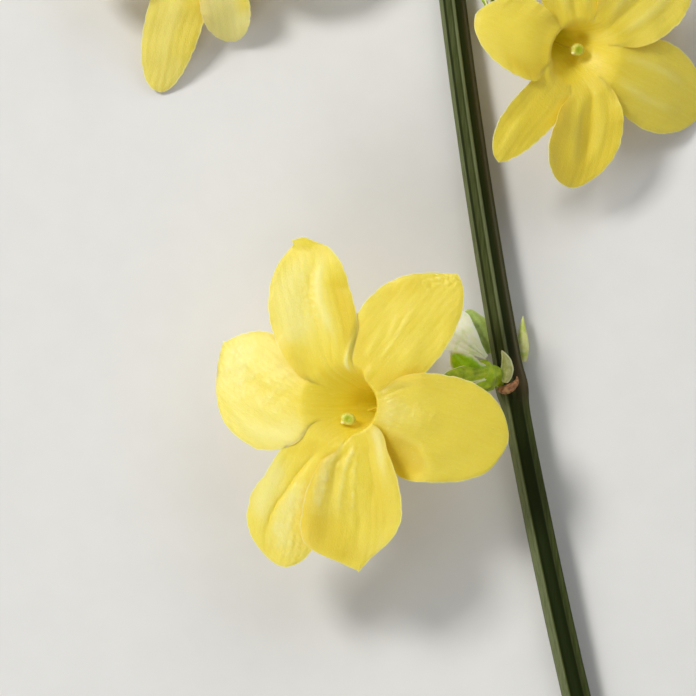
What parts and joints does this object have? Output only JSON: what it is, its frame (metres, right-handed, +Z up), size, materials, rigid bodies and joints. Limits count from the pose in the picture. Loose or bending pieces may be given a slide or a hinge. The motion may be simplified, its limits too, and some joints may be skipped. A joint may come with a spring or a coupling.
{
  "type": "cut sprig of winter jasmine in bloom",
  "caption": "Cut green winter jasmine stem lying flat, with six-lobed yellow trumpet blooms, calyxes, small bracts and a bud.",
  "frame": {"origin": "centre of the bounding box at the level of the surface that the sprig lies on", "axes": "+Z up, out of the faces of the blooms; +Y along the stem towards its upper cut; +X to the right of the view from above"},
  "size_m": [0.0542, 0.0788, 0.0135],
  "materials": {
    "stem": "satin green bark with pale ridges",
    "petal": "soft satin petal",
    "stigma": "moist satin",
    "leafy_green": "satin leaf",
    "bract": "pale papery leaf with a brown scar"
  },
  "bodies": {
    "root": {"stem": "stem", "side_shoot": "stem", "bloom_centre": "petal", "bloom_right": "petal", "bloom_left": "petal", "style_centre": "stigma", "style_right": "stigma", "style_left": "stigma", "calyx_centre": "leafy_green", "calyx_right": "leafy_green", "calyx_left": "leafy_green", "bract_pale": "bract", "bract_green": "leafy_green", "bract_front": "bract", "axil_bud": "leafy_green"}
  },
  "joints": []
}
